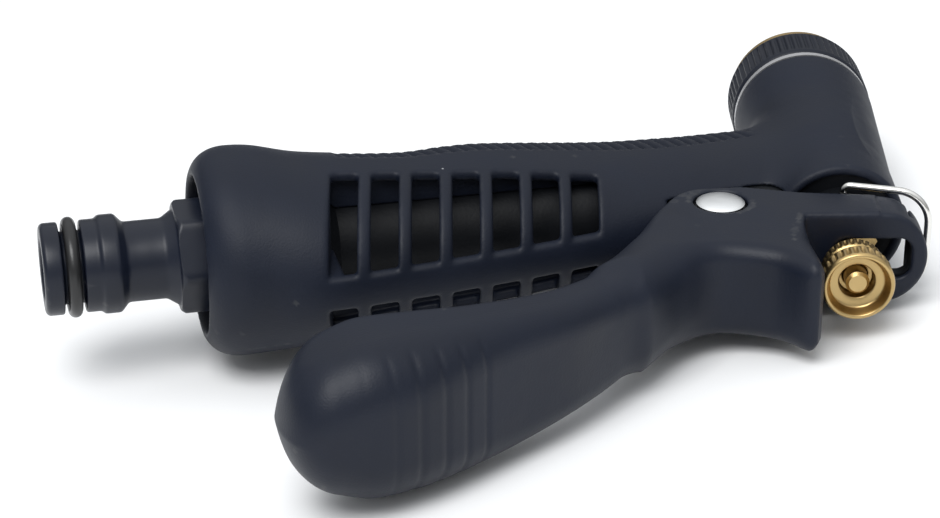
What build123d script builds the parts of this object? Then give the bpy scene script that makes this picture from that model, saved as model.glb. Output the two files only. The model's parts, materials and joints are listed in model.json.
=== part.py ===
from build123d import *

import math
import os

# Hose spray nozzle with a rear lever, lying on its side, in millimetres.
# Origin: centre of the tip of the hose nose. +X runs along the handle, from the hose
# to the barrel. +Y is the way the water leaves. +Z comes out of the side facing up.
# Everything is symmetric about the plane Z = 0.

# --- Driving dimensions ---------------------------------------------------------

# Barrel: its axis crosses the handle's axis at BARREL_X and leans by BARREL_TILT.
BARREL_X = 140.4
BARREL_TILT = 12.4

# Hose nose of the quick-connect system
NOSE_R = 7.9
NOSE_BORE_R = 4.7
COLLAR_R = 8.46
NECK_R = 6.9
SOCKET_THREAD_R = 9.8
RING_GROOVE_X = 5.0
RING_WIRE_R = 1.2

# Handle
TUBE_R = 8.0
WATERWAY_R = 5.0
SOCKET_R = 12.4
BULB_OPENING_R = 13.5
VENT_WIDTH = 4.7
VENT_PITCH = 7.0
VENT_COUNT = 7
VENT_FRONT_Y = -4.8
VENT_REAR_Y = -27.2
FIRST_VENT_X = 49.6
SPINE_HALF_WIDTH = 3.0
JACKET_WALL = 1.9

# Barrel, measured along its own axis from where it crosses the handle's axis
CASTING_R = 9.8
CHAMBER_R = 7.0
BARREL_REAR = -15.0
BOSS_REAR = -18.5
BOSS_R = 7.4
SLEEVE_R = 11.6
SLEEVE_FRONT_R = 13.1
SHOULDER_S = 35.0
SHOULDER_R = 13.0
RING_REAR_S = 36.3
RING_FRONT_S = 47.0
FRONT_THREAD_R = 10.5
RING_R = 13.3
TIP_R = 9.0
OUTLET_R = 12.4
OUTLET_S = 49.8
ORIFICE_R = 3.2

# Valve stem and flow nut
STEM_R = 2.0
STEM_END = -37.2
COLLAR_S = 26.0
GLAND_R = 5.0
NUT_FRONT = -28.1
NUT_REAR = -38.6
NUT_R = 6.15

# Lever
PIN_X = 114.3
PIN_Y = -17.0
PIN_R = 2.5
PIN_HEAD_R = 4.15
WINDOW_GAP = 0.5
LUG_HALF = 5.9
LUG_R = 6.8
POCKET_HALF = 6.3
CORE_HALF = 7.3
HEAD_HALF = 8.6
HEAD_END_U = 4.8
HEAD_REAR = -27.8
WEB = 3.5
SLOT_HALF = 3.4

# Wire bail
WIRE_R = 0.65
BAIL_LEG_Z = 8.9
BAIL_END_Z = 5.8
BAIL_PIVOT_S = -16.6
BAIL_REACH = 14.9
BAIL_ANGLE = -15.4

RUNNING = 0.06  # radial clearance of a turning fit
SKIN = 1.3  # thickness of the rubber skin on the lever

os.makedirs("parts", exist_ok=True)

# --- Places -----------------------------------------------------------------------

tilt = math.radians(BARREL_TILT)
across = Vector(math.cos(tilt), -math.sin(tilt), 0)
along = Vector(math.sin(tilt), math.cos(tilt), 0)
barrel_foot = Vector(BARREL_X, 0, 0)

BARREL_AXIS = Axis(barrel_foot, along)
barrel_side = Plane(origin=barrel_foot, x_dir=across, z_dir=(0, 0, 1))


def barrel_cut(s):
    """Plane square to the barrel at a distance s along it, local x pointing outward."""
    return Plane(origin=barrel_foot + along * s, x_dir=across, z_dir=along)


def at_barrel(u, s):
    """Point of the mid-plane at u across the barrel and s along it."""
    spot = barrel_foot + across * u + along * s
    return (spot.X, spot.Y)


def save(piece, label):
    """Names a finished piece and writes it."""
    piece.part.label = label
    export_step(piece.part, f"parts/{label}.step")


def turned(outline, plane=Plane.XY, axis=Axis.X):
    """Solid turned from a closed outline."""
    with BuildPart() as piece:
        with BuildSketch(plane):
            with BuildLine():
                Polyline(*outline, close=True)
            make_face()
        revolve(axis=axis)
    return piece


def turned_on_barrel(outline):
    """Solid turned about the barrel's axis, its outline given as (radius, s)."""
    return turned(outline, plane=barrel_side, axis=BARREL_AXIS)


def ring_outline(inner, outer, start, end):
    """Square section of a ring, as (radius, s)."""
    return [(inner, start), (outer, start), (outer, end), (inner, end)]


# --- Hose adaptor -------------------------------------------------------------------

HEX_FRONT = 22.7
HEX_REAR = 31.0
HEX_FLATS = 17.4
THREAD_END = 39.0
GROOVE_HALF = 1.8
GROOVE_R = 6.2

nose_outline = [
    (0, 0),
    (0, NOSE_R - 0.4),
    (0.4, NOSE_R),
    (RING_GROOVE_X - GROOVE_HALF, NOSE_R),
    (RING_GROOVE_X - GROOVE_HALF, GROOVE_R),
    (RING_GROOVE_X + GROOVE_HALF, GROOVE_R),
    (RING_GROOVE_X + GROOVE_HALF, NOSE_R),
    (9.6, NOSE_R),
    (10.0, COLLAR_R),
    (12.8, COLLAR_R),
    (14.0, NECK_R),
    (21.0, NECK_R),
    (HEX_FRONT, HEX_FLATS / 2 - 0.3),
    (HEX_REAR, HEX_FLATS / 2 - 0.3),
    (HEX_REAR, SOCKET_THREAD_R),
    (THREAD_END, SOCKET_THREAD_R),
    (THREAD_END, 0),
]

with BuildPart() as hose_adaptor:
    with BuildSketch():
        with BuildLine():
            Polyline(*nose_outline, close=True)
        make_face()
    revolve(axis=Axis.X)
    with BuildSketch(Plane.YZ.offset(HEX_FRONT)):
        RegularPolygon(radius=HEX_FLATS / 2, side_count=6, major_radius=False)
    extrude(amount=HEX_REAR - HEX_FRONT)
    with BuildSketch(Plane.YZ):
        Circle(NOSE_BORE_R)
    extrude(amount=THREAD_END, mode=Mode.SUBTRACT)
save(hose_adaptor, "hose_adaptor")

with BuildPart() as adaptor_o_ring:
    with BuildSketch():
        with Locations((RING_GROOVE_X, GROOVE_R + RING_WIRE_R)):
            Circle(RING_WIRE_R)
    revolve(axis=Axis.X)
save(adaptor_o_ring, "adaptor_o_ring")

WASHER_END = 41.5

inlet_washer = turned(
    [(THREAD_END, WATERWAY_R), (THREAD_END, 9.6), (WASHER_END, 9.6), (WASHER_END, WATERWAY_R)]
)
save(inlet_washer, "inlet_washer")

# --- Body casting -------------------------------------------------------------------


def lug_profile():
    """Side view of the lug that carries the lever's pin."""
    with BuildSketch() as profile:
        with BuildLine():
            Polyline((107, -6), (109, PIN_Y), (PIN_X + 5.5, PIN_Y - 2), (130, -8), (130, -4), close=True)
        make_face()
        with Locations((PIN_X, PIN_Y)):
            Circle(LUG_R)
    return profile.sketch


SOCKET_FRONT = 31.4
SOCKET_REAR = 45.0
TUBE_START = 50.0

with BuildPart() as body_casting:
    # handle tube, widening into the inlet socket
    with BuildSketch():
        with BuildLine():
            Polyline(
                (SOCKET_FRONT, 0),
                (SOCKET_FRONT, SOCKET_R - 0.8),
                (SOCKET_FRONT + 0.8, SOCKET_R),
                (SOCKET_REAR, SOCKET_R),
                (TUBE_START, TUBE_R),
                (BARREL_X - 4, TUBE_R),
                (BARREL_X - 4, 0),
                close=True,
            )
        make_face()
    revolve(axis=Axis.X)
    # barrel with its rear boss, shoulder and front thread
    with BuildSketch(barrel_side):
        with BuildLine():
            Polyline(
                (0, BOSS_REAR),
                (6.1, BOSS_REAR),
                (6.1, BAIL_PIVOT_S - 1.1),
                (BOSS_R, BAIL_PIVOT_S - 1.1),
                (BOSS_R, BARREL_REAR + 0.8),
                (CASTING_R, BARREL_REAR + 0.8),
                (CASTING_R, SHOULDER_S),
                (SHOULDER_R, SHOULDER_S),
                (SHOULDER_R, RING_REAR_S),
                (FRONT_THREAD_R, RING_REAR_S),
                (FRONT_THREAD_R, RING_FRONT_S - 0.6),
                (0, RING_FRONT_S - 0.6),
                close=True,
            )
        make_face()
    revolve(axis=BARREL_AXIS)
    # lug that carries the lever's pin
    extrude(lug_profile(), amount=LUG_HALF, both=True)
    # waterway, from the socket to the chamber
    with BuildSketch(Plane.YZ.offset(SOCKET_FRONT)):
        Circle(SOCKET_THREAD_R)
    extrude(amount=WASHER_END - SOCKET_FRONT, mode=Mode.SUBTRACT)
    with BuildSketch(Plane.YZ.offset(SOCKET_FRONT)):
        Circle(WATERWAY_R)
    extrude(amount=BARREL_X - SOCKET_FRONT, mode=Mode.SUBTRACT)
    # valve chamber, seat for the spray tip and bore for the stem
    with BuildSketch(barrel_side):
        with BuildLine():
            Polyline(
                (0, BOSS_REAR - 1),
                (GLAND_R, BOSS_REAR - 1),
                (GLAND_R, -12),
                (STEM_R + 0.1, -12),
                (STEM_R + 0.1, -8),
                (CHAMBER_R, -8),
                (CHAMBER_R, 36),
                (TIP_R, 36),
                (TIP_R, RING_FRONT_S),
                (0, RING_FRONT_S),
                close=True,
            )
        make_face()
    revolve(axis=BARREL_AXIS, mode=Mode.SUBTRACT)
    # hole for the lever's pin
    with BuildSketch():
        with Locations((PIN_X, PIN_Y)):
            Circle(PIN_R + RUNNING)
    extrude(amount=LUG_HALF, both=True, mode=Mode.SUBTRACT)
    # blind holes for the bail's ends, one in each side of the rear boss
    for side in (1, -1):
        with BuildSketch(Plane.XY.offset(side * (BAIL_END_Z - 0.3))):
            with Locations(at_barrel(0, BAIL_PIVOT_S)):
                Circle(WIRE_R + RUNNING)
        extrude(amount=side * 6, mode=Mode.SUBTRACT)
save(body_casting, "body_casting")

# --- Rubber jacket ------------------------------------------------------------------

# Sections of the handle: place along X, rear edge, front edge and half width
jacket_sections = [
    (26.0, -18.3, 18.6, 18.0),
    (36.0, -19.8, 20.9, 17.4),
    (46.0, -21.4, 19.2, 15.6),
    (62.0, -19.9, 17.4, 14.2),
    (72.0, -18.5, 19.4, 13.6),
    (80.0, -17.3, 19.9, 13.1),
    (100.0, -13.7, 19.2, 10.9),
    (112.0, -12.1, 19.5, 10.1),
    (120.0, -11.2, 20.3, 9.6),
    (134.0, -10.4, 20.6, 9.6),
]


def handle_shape(wall):
    """Outside of the handle, or its hollow a wall's thickness smaller."""
    with BuildPart() as shape:
        for x, rear, front, half in jacket_sections:
            with BuildSketch(Plane.YZ.offset(x)):
                with Locations(((rear + front) / 2, 0)):
                    Ellipse((front - rear) / 2 - wall, half - wall)
        loft()
    return shape.part


CUT_REACH = 20  # longer than the handle is wide or deep on either side
HOLLOW_START = 48.6
HOLLOW_END = 99.5
HOLLOW_FRONT_Y = -3.0
# the vents lean with the barrel, and FIRST_VENT_X is where the first one starts at this height
VENT_REFERENCE_Y = -2.4
vent_middle_y = (VENT_FRONT_Y + VENT_REAR_Y) / 2
vent_slant = (VENT_REFERENCE_Y - vent_middle_y) * math.tan(tilt)

with BuildPart() as hollow:
    # space behind the vents, between the handle tube and the jacket's wall
    add(handle_shape(JACKET_WALL))
    with BuildSketch():
        with Locations(((HOLLOW_START + HOLLOW_END) / 2, HOLLOW_FRONT_Y - CUT_REACH)):
            Rectangle(HOLLOW_END - HOLLOW_START, 2 * CUT_REACH)
    extrude(amount=CUT_REACH, both=True, mode=Mode.INTERSECT)

with BuildPart() as grip_overmould:
    add(handle_shape(0))
    fillet(grip_overmould.edges().group_by(Axis.X)[0], radius=4.2)
    with BuildSketch(barrel_side):
        with BuildLine():
            Polyline(
                (0, BARREL_REAR),
                (SLEEVE_R, BARREL_REAR),
                (SLEEVE_R, 0),
                (12.6, 22),
                (SLEEVE_FRONT_R, 32),
                (SLEEVE_FRONT_R, SHOULDER_S - 0.5),
                (SLEEVE_FRONT_R - 0.5, SHOULDER_S),
                (0, SHOULDER_S),
                close=True,
            )
        make_face()
    revolve(axis=BARREL_AXIS)
    # small ear at the front of the barrel, on the side away from the handle
    with BuildSketch():
        with BuildLine():
            Polyline(at_barrel(12, 31.5), at_barrel(14.7, 34.5), at_barrel(12, SHOULDER_S), close=True)
        make_face()
    extrude(amount=1.2, both=True)
    # vents: windows through to the handle tube, one row each side of the rear spine
    for side in (1, -1):
        for number in range(VENT_COUNT):
            start = FIRST_VENT_X + number * VENT_PITCH
            middle = (start + VENT_WIDTH / 2 - vent_slant, vent_middle_y)
            with BuildSketch(Plane.XY.offset(side * SPINE_HALF_WIDTH)):
                with Locations(Location(middle, -BARREL_TILT)):
                    RectangleRounded(VENT_WIDTH, VENT_FRONT_Y - VENT_REAR_Y, 0.9)
            extrude(amount=side * CUT_REACH, mode=Mode.SUBTRACT)
    add(hollow.part, mode=Mode.SUBTRACT)
    # opening round the hose adaptor
    with BuildSketch(Plane.YZ.offset(SOCKET_FRONT)):
        Circle(BULB_OPENING_R)
    extrude(amount=-CUT_REACH, mode=Mode.SUBTRACT)
    # room for the casting
    with BuildSketch():
        with BuildLine():
            Polyline(
                (SOCKET_FRONT, 0),
                (SOCKET_FRONT, SOCKET_R),
                (SOCKET_REAR, SOCKET_R),
                (TUBE_START, TUBE_R),
                (BARREL_X, TUBE_R),
                (BARREL_X, 0),
                close=True,
            )
        make_face()
    revolve(axis=Axis.X, mode=Mode.SUBTRACT)
    with BuildSketch(barrel_cut(BARREL_REAR)):
        Circle(CASTING_R)
    extrude(amount=SHOULDER_S - BARREL_REAR, mode=Mode.SUBTRACT)
    # room for the lug
    extrude(lug_profile(), amount=LUG_HALF, both=True, mode=Mode.SUBTRACT)
save(grip_overmould, "grip_overmould")

# --- Front ring, spray tip and seal ---------------------------------------------------

KNURL_COUNT = 60
KNURL_DEPTH = 0.45

with BuildPart() as front_ring:
    with BuildSketch(barrel_side):
        with BuildLine():
            Polyline(
                (FRONT_THREAD_R + RUNNING, RING_REAR_S + 0.3),
                (RING_R - 0.5, RING_REAR_S + 0.3),
                (RING_R, RING_REAR_S + 1.2),
                (RING_R, RING_FRONT_S - 1.0),
                (RING_R - 1.0, RING_FRONT_S),
                (FRONT_THREAD_R + RUNNING, RING_FRONT_S),
                close=True,
            )
        make_face()
    revolve(axis=BARREL_AXIS)
    with BuildSketch(barrel_cut(RING_REAR_S + 2.0)):
        with PolarLocations(RING_R, KNURL_COUNT):
            Rectangle(2 * KNURL_DEPTH, 0.55)
    extrude(amount=RING_FRONT_S - RING_REAR_S - 3.6, mode=Mode.SUBTRACT)
save(front_ring, "front_ring")

SEAT_S = 30.3
TIP_FLANGE_S = 37.3

spray_tip = turned_on_barrel(
    [
        (3.7, SEAT_S),
        (6.4, SEAT_S),
        (6.4, TIP_FLANGE_S),
        (TIP_R, TIP_FLANGE_S),
        (TIP_R, RING_FRONT_S + 0.3),
        (OUTLET_R, RING_FRONT_S + 0.3),
        (OUTLET_R, OUTLET_S - 0.8),
        (OUTLET_R - 0.8, OUTLET_S),
        (ORIFICE_R + 3, OUTLET_S),
        (ORIFICE_R, OUTLET_S - 2.4),
        (ORIFICE_R, 44.5),
        (3.7, 43.5),
    ]
)
save(spray_tip, "spray_tip")

tip_seal = turned_on_barrel(ring_outline(6.5, 8.9, 36.0, TIP_FLANGE_S))
save(tip_seal, "tip_seal")

# --- Gland at the barrel's rear ---------------------------------------------------------

GLAND_HEX_S = -20.8

stem_packing = turned_on_barrel(ring_outline(STEM_R, GLAND_R, -14.2, -12.0))
save(stem_packing, "stem_packing")

gland_washer = turned_on_barrel(ring_outline(STEM_R + 0.15, GLAND_R - 0.1, -15.0, -14.2))
save(gland_washer, "gland_washer")

with BuildPart() as packing_nut:
    with BuildSketch(barrel_cut(-18.7)):
        Circle(GLAND_R)
    extrude(amount=3.7)
    with BuildSketch(barrel_cut(GLAND_HEX_S)):
        RegularPolygon(radius=5.0, side_count=6, major_radius=False)
    extrude(amount=2.1)
    with BuildSketch(barrel_cut(GLAND_HEX_S)):
        Circle(STEM_R + RUNNING)
    extrude(amount=6, mode=Mode.SUBTRACT)
save(packing_nut, "packing_nut")

# --- Valve stem and what rides on it ------------------------------------------------------

THREAD_R = 1.5

valve_stem = turned_on_barrel(
    [
        (0, STEM_END),
        (STEM_R - 0.5, STEM_END),
        (STEM_R, STEM_END + 0.5),
        (STEM_R, COLLAR_S - 2),
        (4.0, COLLAR_S - 2),
        (4.0, COLLAR_S),
        (THREAD_R, COLLAR_S),
        (THREAD_R, 36),
        (0, 36),
    ]
)
save(valve_stem, "valve_stem")

washer_cup = turned_on_barrel(
    [
        (THREAD_R, COLLAR_S),
        (6.2, COLLAR_S),
        (6.2, COLLAR_S + 3),
        (5.7, COLLAR_S + 3),
        (5.7, COLLAR_S + 1),
        (THREAD_R, COLLAR_S + 1),
    ]
)
save(washer_cup, "washer_cup")

valve_washer = turned_on_barrel(ring_outline(THREAD_R, 5.7, COLLAR_S + 1, COLLAR_S + 4.1))
save(valve_washer, "valve_washer")

stem_cone = turned_on_barrel(
    [
        (THREAD_R, COLLAR_S + 4.1),
        (3.3, COLLAR_S + 4.1),
        (3.3, 38),
        (2.8, 40),
        (2.2, 47.0),
        (1.6, 47.6),
        (0, 47.6),
        (0, 36),
        (THREAD_R, 36),
    ]
)
save(stem_cone, "stem_cone")

# Coil that pushes the stem forward, between the chamber's rear wall and the cup
SPRING_WIRE_R = 0.5
SPRING_R = 5.2
SPRING_TURNS = 9
spring_start = -8 + SPRING_WIRE_R
spring_length = COLLAR_S - SPRING_WIRE_R - spring_start

with BuildPart() as stem_spring:
    with BuildLine():
        coil = Helix(
            pitch=spring_length / SPRING_TURNS,
            height=spring_length,
            radius=SPRING_R,
            center=barrel_foot + along * spring_start,
            direction=along,
        )
    with BuildSketch(Plane(origin=coil @ 0, z_dir=coil % 0)):
        Circle(SPRING_WIRE_R)
    sweep(path=coil, is_frenet=True)
save(stem_spring, "stem_spring")

# Brass nut: a smooth spigot next to the lever, a small knurled band, a groove, and a
# large knurled rim with a cup in its rear face
NUT_SPIGOT_R = 3.6
NUT_BAND_R = 5.4
NUT_GROOVE_R = 4.6
NUT_KNURLS = 30

with BuildPart() as flow_nut:
    with BuildSketch(barrel_side):
        with BuildLine():
            Polyline(
                (STEM_R + RUNNING, NUT_FRONT),
                (NUT_SPIGOT_R, NUT_FRONT),
                (NUT_SPIGOT_R, -30.4),
                (NUT_BAND_R - 0.5, -30.4),
                (NUT_BAND_R, -30.9),
                (NUT_BAND_R, -32.9),
                (NUT_GROOVE_R, -33.5),
                (NUT_GROOVE_R, -34.2),
                (NUT_R, -35.2),
                (NUT_R, NUT_REAR + 0.4),
                (NUT_R - 0.3, NUT_REAR),
                (NUT_R - 0.8, NUT_REAR),
                (NUT_R - 1.5, -36.6),
                (3.0, -36.2),
                (3.0, -33.8),
                (STEM_R + RUNNING, -33.8),
                close=True,
            )
        make_face()
    revolve(axis=BARREL_AXIS)
    for start, length, radius in ((-32.9, 2.1, NUT_BAND_R), (-37.9, 2.7, NUT_R)):
        with BuildSketch(barrel_cut(start)):
            with PolarLocations(radius, NUT_KNURLS):
                Rectangle(0.6, 0.5)
        extrude(amount=length, mode=Mode.SUBTRACT)
save(flow_nut, "flow_nut")

# --- Lever ----------------------------------------------------------------------------------


def neck_profile():
    """Side view of the lever's neck and head, from the top of the palm to the round end."""
    with BuildSketch() as profile:
        with BuildLine():
            Polyline((120.3, -12.0), at_barrel(-7.8, -18.3), at_barrel(15, -20.4))
            Line(at_barrel(15, -20.4), at_barrel(15, HEAD_REAR))
            Line(at_barrel(15, HEAD_REAR), at_barrel(-8, HEAD_REAR))
            Spline(at_barrel(-8, HEAD_REAR), (125.5, -28.3), (124.9, -34.0), (123.9, -42.8))
            ThreePointArc((123.9, -42.8), (122.6, -44.6), (120.8, -43.9))
            Spline((120.8, -43.9), (116.6, -38.4), (108.5, -34.7), (100.3, -36.8), (93.0, -43.0))
            Line((93.0, -43.0), (88.0, -37.0))
            Spline((88.0, -37.0), (96.0, -28.0), (103.8, -17.0))
            ThreePointArc((103.8, -17.0), (110.0, -11.0), (120.3, -12.0))
        make_face()
    return profile.sketch


def core_profile():
    """Side view of the channel inside the neck and head, a skin's thickness smaller."""
    with BuildSketch() as profile:
        with BuildLine():
            Polyline(
                (120.0, -13.4),
                at_barrel(-7.8, -19.6),
                at_barrel(13.5, -21.6),
                at_barrel(13.5, HEAD_REAR + SKIN),
                at_barrel(-12.2, HEAD_REAR + SKIN),
                (124.0, -30.0),
                (123.4, -36.5),
                (118.0, -34.0),
            )
            Spline((118.0, -34.0), (108.5, -30.3), (100.5, -32.0), (94.6, -38.2))
            Line((94.6, -38.2), (90.0, -36.8))
            Spline((90.0, -36.8), (97.4, -27.2), (105.2, -17.0))
            ThreePointArc((105.2, -17.0), (111.0, -12.2), (120.0, -13.4))
        make_face()
    return profile.sketch


# Sections of the palm: place, direction, half thickness and half width
palm_sections = [
    (28.9, -62.6, 5, 4.0, 5.5),
    (32.6, -62.6, 5, 7.6, 9.8),
    (43.0, -61.9, 12, 9.6, 13.2),
    (53.0, -59.8, 20, 8.4, 13.0),
    (65.0, -55.4, 26, 6.2, 11.8),
    (77.0, -49.6, 32, 5.3, 10.2),
    (87.0, -42.4, 40, 5.2, 9.2),
    (97.0, -33.0, 45, 6.0, 8.6),
]


def palm(shrink):
    """Rounded bar down the palm, ending in the bulb."""
    with BuildPart() as bar:
        for x, y, heading, thickness, width in palm_sections:
            turn = math.radians(heading)
            ahead = (math.cos(turn), math.sin(turn), 0)
            square = Plane(origin=(x, y, 0), x_dir=(-math.sin(turn), math.cos(turn), 0), z_dir=ahead)
            with BuildSketch(square):
                half = thickness - shrink
                RectangleRounded(2 * half, 2 * (width - shrink), 0.9 * half)
        loft()
    return bar.part


def head_view(radius):
    """Lever seen along the stem, with its round end."""
    with BuildSketch(barrel_cut(-110)) as outline:
        with Locations((HEAD_END_U - 65, 0)):
            Rectangle(130, 40)
        with Locations((HEAD_END_U, 0)):
            Circle(radius)
    return outline.sketch


def slot_cut(half):
    """Slot in the lever's web, wide enough for the stem at every angle of the lever."""
    with BuildSketch(barrel_cut(HEAD_REAR - 5)) as outline:
        with Locations((3.9, 0)):
            RectangleRounded(13.4, 2 * half, half - 1.2)
    return outline.sketch


VIEW_DEPTH = 140
POCKET_END_U = 10.6
LUG_CLEARANCE_R = 7.5

with BuildPart() as lever_pocket:
    # room for the lug, the packing nut and the rear of the barrel
    with BuildSketch():
        with Locations((PIN_X, PIN_Y)):
            Circle(LUG_CLEARANCE_R)
        with BuildLine():
            Polyline(
                at_barrel(-22, 0),
                at_barrel(-22, HEAD_REAR + WEB),
                at_barrel(POCKET_END_U, HEAD_REAR + WEB),
                at_barrel(POCKET_END_U, 0),
                close=True,
            )
        make_face()
        with Locations(((PIN_X + 90) / 2, -10)):
            Rectangle(PIN_X - 90, 19)
    extrude(amount=POCKET_HALF, both=True)

with BuildPart() as core_shape:
    # channel round the pin and the head
    with BuildSketch():
        add(core_profile())
    extrude(amount=CORE_HALF, both=True)
    extrude(head_view(CORE_HALF), amount=VIEW_DEPTH, mode=Mode.INTERSECT)
    # spine down the palm
    with BuildSketch():
        with BuildLine():
            Polyline(
                (48, -63.5),
                (47, -59.5),
                (68, -54),
                (98, -31),
                (103, -30),
                (100, -35),
                (70, -56),
                close=True,
            )
        make_face()
    extrude(amount=4, both=True)

with BuildPart() as lever_core:
    add(core_shape.part)
    add(lever_pocket.part, mode=Mode.SUBTRACT)
    extrude(slot_cut(SLOT_HALF), amount=12, mode=Mode.SUBTRACT)
    with BuildSketch():
        with Locations((PIN_X, PIN_Y)):
            Circle(PIN_R)
    extrude(amount=CORE_HALF, both=True, mode=Mode.SUBTRACT)
save(lever_core, "lever_core")

with BuildPart() as lever_cover:
    with BuildSketch():
        add(neck_profile())
    extrude(amount=HEAD_HALF, both=True)
    extrude(head_view(HEAD_HALF), amount=VIEW_DEPTH, mode=Mode.INTERSECT)
    add(palm(0))
    add(lever_pocket.part, mode=Mode.SUBTRACT)
    add(core_shape.part, mode=Mode.SUBTRACT)
    extrude(slot_cut(SLOT_HALF + 0.3), amount=12, mode=Mode.SUBTRACT)
    # round windows that show the pin's heads
    with BuildSketch():
        with Locations((PIN_X, PIN_Y)):
            Circle(PIN_HEAD_R + WINDOW_GAP)
    extrude(amount=HEAD_HALF + 1, both=True, mode=Mode.SUBTRACT)
save(lever_cover, "lever_cover")

with BuildPart() as pivot_pin:
    with BuildSketch():
        with Locations((PIN_X, PIN_Y)):
            Circle(PIN_R)
    extrude(amount=CORE_HALF, both=True)
    for side in (1, -1):
        with BuildSketch(Plane.XY.offset(side * CORE_HALF)):
            with Locations((PIN_X, PIN_Y)):
                Circle(PIN_HEAD_R)
        extrude(amount=side * 1.8)
    rims = pivot_pin.edges().filter_by(GeomType.CIRCLE)
    fillet(rims.group_by(Axis.Z)[0] + rims.group_by(Axis.Z)[-1], radius=0.9)
save(pivot_pin, "pivot_pin")

# --- Wire bail --------------------------------------------------------------------------------

bail_angle = math.radians(BAIL_ANGLE)
bail_out = across * math.cos(bail_angle) + along * math.sin(bail_angle)
bail_pivot = barrel_foot + along * BAIL_PIVOT_S
bail_plane = Plane(origin=bail_pivot, x_dir=bail_out, z_dir=bail_out.cross(Vector(0, 0, 1)))

with BuildPart() as wire_bail:
    with BuildLine(bail_plane):
        wire = FilletPolyline(
            (0, BAIL_END_Z),
            (0, BAIL_LEG_Z),
            (BAIL_REACH, BAIL_LEG_Z),
            (BAIL_REACH, -BAIL_LEG_Z),
            (0, -BAIL_LEG_Z),
            (0, -BAIL_END_Z),
            radius=[1.2, 5.5, 5.5, 1.2],
        )
    with BuildSketch(Plane(origin=wire @ 0, z_dir=wire % 0)):
        Circle(WIRE_R)
    sweep(path=wire)
save(wire_bail, "wire_bail")
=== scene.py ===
import json
import math

import bmesh
import bpy
import numpy as np
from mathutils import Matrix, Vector


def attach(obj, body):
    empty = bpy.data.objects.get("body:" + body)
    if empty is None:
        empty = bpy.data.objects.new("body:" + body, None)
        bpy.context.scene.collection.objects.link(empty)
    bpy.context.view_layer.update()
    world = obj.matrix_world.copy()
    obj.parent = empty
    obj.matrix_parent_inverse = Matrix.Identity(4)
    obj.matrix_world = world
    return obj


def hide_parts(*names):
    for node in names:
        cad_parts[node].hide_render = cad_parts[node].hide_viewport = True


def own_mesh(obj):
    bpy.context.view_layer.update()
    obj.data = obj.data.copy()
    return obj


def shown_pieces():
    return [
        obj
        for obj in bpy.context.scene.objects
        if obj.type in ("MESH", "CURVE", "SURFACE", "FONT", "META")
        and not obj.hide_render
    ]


# Looks of the hose spray nozzle. Shapes are worked out in millimetres in the row frame:
# +X along the handle towards the barrel, +Y the way the water leaves, +Z the side facing up.

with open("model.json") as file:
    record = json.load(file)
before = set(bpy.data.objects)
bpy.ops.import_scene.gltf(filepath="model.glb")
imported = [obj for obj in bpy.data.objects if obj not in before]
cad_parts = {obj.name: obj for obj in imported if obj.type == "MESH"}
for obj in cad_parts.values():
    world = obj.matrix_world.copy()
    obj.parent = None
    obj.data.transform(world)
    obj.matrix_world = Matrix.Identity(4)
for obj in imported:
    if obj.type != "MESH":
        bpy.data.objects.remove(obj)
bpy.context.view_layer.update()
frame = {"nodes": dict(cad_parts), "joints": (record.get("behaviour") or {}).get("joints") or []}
MM = 0.001

# --- Places taken from the frame ----------------------------------------------------------

joints = {j["name"]: j for j in frame["joints"]}
pin_x, pin_y, _ = (1000 * c for c in joints["lever_squeeze"]["pos_m"])
barrel_way = np.array(joints["front_ring_turn"]["axis"], float)
barrel_way /= np.linalg.norm(barrel_way)
barrel_across = np.array([barrel_way[1], -barrel_way[0], 0.0])
ring_centre = 1000 * np.array(joints["front_ring_turn"]["pos_m"], float)
ring_back = ring_centre[1] / barrel_way[1]
barrel_foot = ring_centre - ring_back * barrel_way

# --- Mesh tools ---------------------------------------------------------------------------


def smooth_min(a, b, k):
    """Union of two distance fields with a fillet about k wide."""
    h = np.maximum(k - np.abs(a - b), 0) / k
    return np.minimum(a, b) - h * h * k / 4


def smooth_max(a, b, k):
    """Intersection of two distance fields with a soft edge about k wide."""
    return -smooth_min(-a, -b, k)


def step_up(value, start, end):
    """Goes smoothly from 0 at start to 1 at end."""
    t = np.clip((value - start) / (end - start), 0, 1)
    return t * t * (3 - 2 * t)


def curve(points, per_span=8):
    """Smooth line through the points."""
    p = np.array(points, float)
    p = np.vstack([2 * p[0] - p[1], p, 2 * p[-1] - p[-2]])
    out = []
    for i in range(1, len(p) - 2):
        for t in np.linspace(0, 1, per_span, endpoint=False):
            a = 2 * p[i]
            b = p[i + 1] - p[i - 1]
            c = 2 * p[i - 1] - 5 * p[i] + 4 * p[i + 1] - p[i + 2]
            d = -p[i - 1] + 3 * p[i] - 3 * p[i + 1] + p[i + 2]
            out.append((a + b * t + c * t * t + d * t * t * t) / 2)
    out.append(p[-2])
    return np.array(out)


class Lookup:
    """Values worked out once on a flat grid in X and Y, then read between its points."""

    def __init__(self, low, high, step, function):
        self.low, self.step = np.array(low, float), step
        xs = np.arange(low[0], high[0] + step, step)
        ys = np.arange(low[1], high[1] + step, step)
        gx, gy = np.meshgrid(xs, ys, indexing="ij")
        made = function(gx.ravel(), gy.ravel())
        made = np.stack(made if isinstance(made, tuple) else (made,), -1)
        self.values = made.reshape(len(xs), len(ys), -1)

    def __call__(self, x, y):
        n, m = self.values.shape[:2]
        fx = np.clip((x - self.low[0]) / self.step, 0, n - 1.001)
        fy = np.clip((y - self.low[1]) / self.step, 0, m - 1.001)
        i, j = fx.astype(int), fy.astype(int)
        tx, ty = (fx - i)[:, None], (fy - j)[:, None]
        v = self.values
        low_side = v[i, j] * (1 - tx) + v[i + 1, j] * tx
        high_side = v[i, j + 1] * (1 - tx) + v[i + 1, j + 1] * tx
        return (low_side * (1 - ty) + high_side * ty).T


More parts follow.
